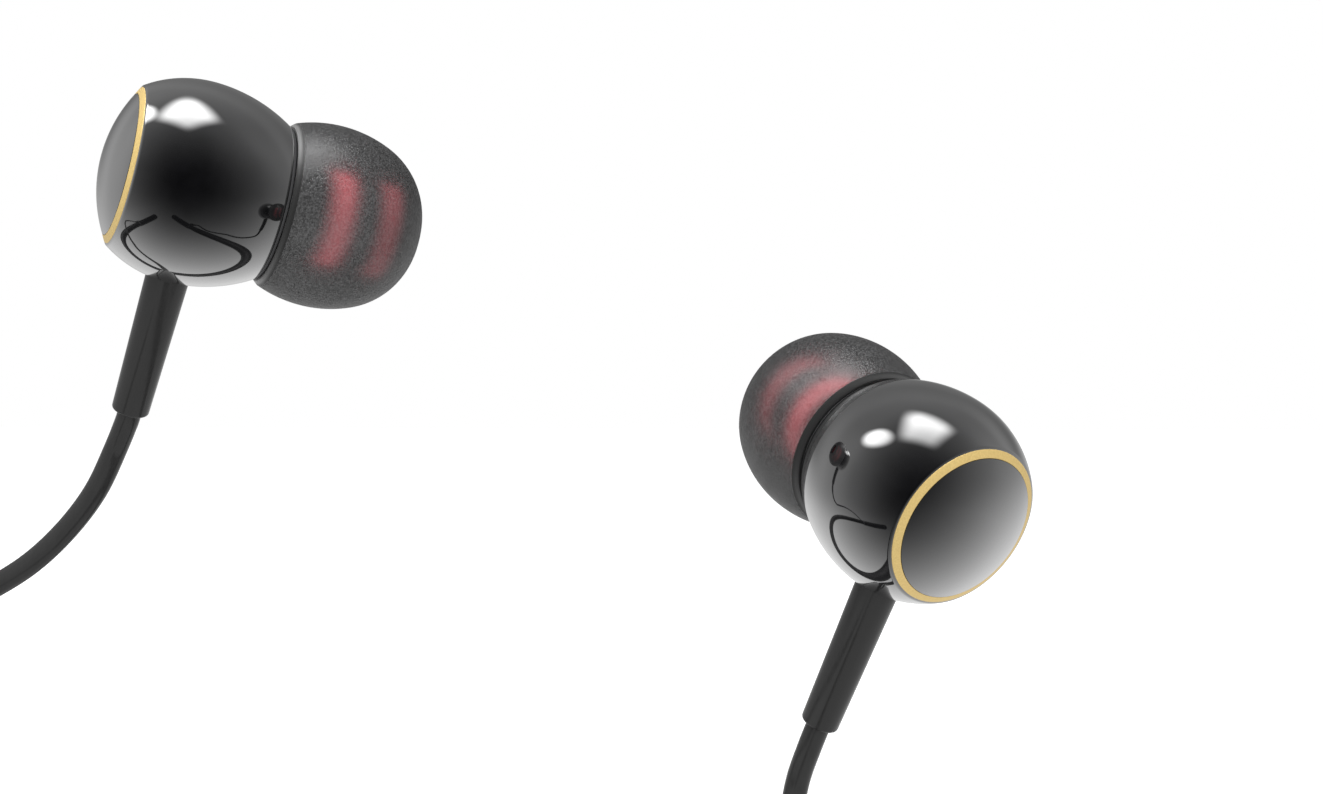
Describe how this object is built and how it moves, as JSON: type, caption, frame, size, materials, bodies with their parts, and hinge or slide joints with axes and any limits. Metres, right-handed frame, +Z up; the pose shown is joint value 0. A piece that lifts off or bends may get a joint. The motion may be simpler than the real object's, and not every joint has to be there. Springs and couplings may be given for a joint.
{
  "type": "neckband earphones",
  "caption": "Neckband earphones: glossy round ear buds with silicone tips on short cords that run to a flexible horseshoe neckband with round-ended arms.",
  "frame": {"origin": "middle of the neckband's inner back, where it rests on the wearer's neck", "axes": "+X to the right as the front view shows it, -Y to the open front of the neckband, +Z up"},
  "size_m": [0.1349, 0.1391, 0.1032],
  "materials": {
    "cap": "high gloss, dark mirror",
    "ring": "satin gold plating",
    "shell": "high gloss piano black",
    "cover": "fine satin black",
    "mesh": "etched wire mesh",
    "damper": "thin felt disc",
    "driver_frame": "moulded, matte",
    "magnet": "nickel plated",
    "yoke": "zinc plated",
    "coil": "enamelled copper wire",
    "film": "thin polymer film",
    "board": "solder mask",
    "core": "translucent red silicone",
    "tip": "translucent black silicone, matte",
    "sleeve": "matte",
    "cord": "matte cord jacket",
    "band": "matte silicone",
    "wire": "spring steel",
    "leads": "insulated wire",
    "arm": "gloss black",
    "arm_under": "satin black",
    "collar": "satin grey",
    "cell": "wrapped cell can",
    "metal": "nickel plated",
    "button": "satin",
    "light": "clear moulded pipe"
  },
  "bodies": {
    "neckband": {"left_rear_cap": "cap", "left_gold_ring": "ring", "left_housing": "shell", "left_front_cover": "cover", "left_nozzle_mesh": "mesh", "left_damper": "damper", "left_driver_frame": "driver_frame", "left_magnet": "magnet", "left_yoke": "yoke", "left_voice_coil": "coil", "left_diaphragm": "film", "left_terminal_board": "board", "left_cord_sleeve": "sleeve", "left_cable_tail": "cord", "right_rear_cap": "cap", "right_gold_ring": "ring", "right_housing": "shell", "right_front_cover": "cover", "right_nozzle_mesh": "mesh", "right_damper": "damper", "right_driver_frame": "driver_frame", "right_magnet": "magnet", "right_yoke": "yoke", "right_voice_coil": "coil", "right_diaphragm": "film", "right_terminal_board": "board", "right_cord_sleeve": "sleeve", "right_cable_tail": "cord", "left_cord": "cord", "right_cord": "cord", "band_sleeve": "band", "spring_wire": "wire", "band_leads": "leads", "left_arm_upper": "arm", "left_arm_lower": "arm_under", "left_band_collar": "collar", "left_strain_relief": "sleeve", "right_arm_upper": "arm", "right_arm_lower": "arm_under", "right_band_collar": "collar", "right_strain_relief": "sleeve", "battery_cell": "cell", "battery_board": "board", "main_board": "board", "tact_switches": "metal", "charge_port": "metal", "microphone": "metal", "light_pipe": "light", "shell_screws": "metal"},
    "left_tip": {"left_tip_core": "core", "left_ear_tip": "tip"},
    "right_tip": {"right_tip_core": "core", "right_ear_tip": "tip"},
    "rear_button": {"button_rear": "button"},
    "middle_button": {"button_mid": "button"},
    "front_button": {"button_front": "button"}
  },
  "joints": [
    {"name": "left_tip_pull", "type": "slide", "parent": "neckband", "child": "left_tip", "axis": [0.8283, 0.5237, -0.1993], "range_m": [0, 0.006]},
    {"name": "right_tip_pull", "type": "slide", "parent": "neckband", "child": "right_tip", "axis": [-0.5462, 0.7265, 0.417], "range_m": [0, 0.006]},
    {"name": "rear_press", "type": "slide", "parent": "neckband", "child": "rear_button", "axis": [0.1255, 0.3269, -0.9367], "range_m": [0, 0.0004], "stiffness_N_per_m": 1000, "springref_m": -0.0003},
    {"name": "middle_press", "type": "slide", "parent": "neckband", "child": "middle_button", "axis": [0.1255, 0.3269, -0.9367], "range_m": [0, 0.0004], "stiffness_N_per_m": 1000, "springref_m": -0.0003},
    {"name": "front_press", "type": "slide", "parent": "neckband", "child": "front_button", "axis": [0.1255, 0.3269, -0.9367], "range_m": [0, 0.0004], "stiffness_N_per_m": 1000, "springref_m": -0.0003}
  ]
}
